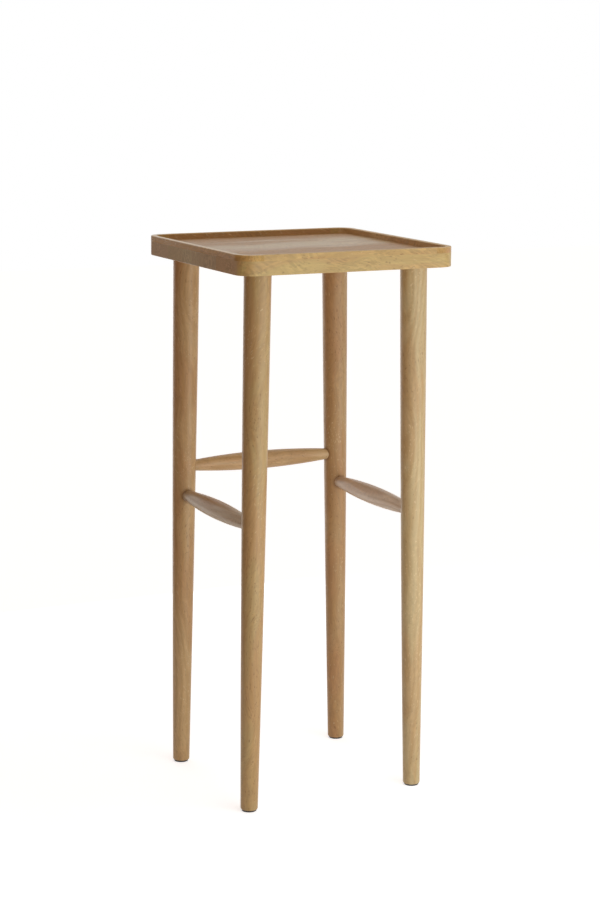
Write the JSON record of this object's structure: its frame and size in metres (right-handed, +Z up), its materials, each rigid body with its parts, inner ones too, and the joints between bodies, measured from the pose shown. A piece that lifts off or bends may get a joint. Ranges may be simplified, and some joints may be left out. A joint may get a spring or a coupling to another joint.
{
  "type": "plant stand",
  "caption": "Tall, slim wooden plant stand: a square tray with a raised rim on turned legs, tied by turned stretchers at the back and sides.",
  "frame": {"origin": "on the floor, under the centre of the tray", "axes": "+X to the right along the open front, +Y to the back, +Z up"},
  "size_m": [0.3, 0.3, 0.717],
  "materials": {
    "panel_wood": "satin lacquer",
    "rim_wood": "satin lacquer",
    "leg_wood": "satin lacquer",
    "stretcher_wood": "satin lacquer",
    "glide_plastic": "moulded matt",
    "nail_steel": "bright drawn"
  },
  "bodies": {
    "root": {"tray_board_1": "panel_wood", "tray_board_2": "panel_wood", "tray_board_3": "panel_wood", "tray_board_4": "panel_wood", "rim_left": "rim_wood", "rim_right": "rim_wood", "rim_front": "rim_wood", "rim_back": "rim_wood", "leg_front_left": "leg_wood", "leg_front_right": "leg_wood", "leg_back_right": "leg_wood", "leg_back_left": "leg_wood", "stretcher_back": "stretcher_wood", "stretcher_left": "stretcher_wood", "stretcher_right": "stretcher_wood", "glide_front_left": "glide_plastic", "glide_front_right": "glide_plastic", "glide_back_right": "glide_plastic", "glide_back_left": "glide_plastic", "glide_nail_front_left": "nail_steel", "glide_nail_front_right": "nail_steel", "glide_nail_back_right": "nail_steel", "glide_nail_back_left": "nail_steel"}
  },
  "joints": []
}
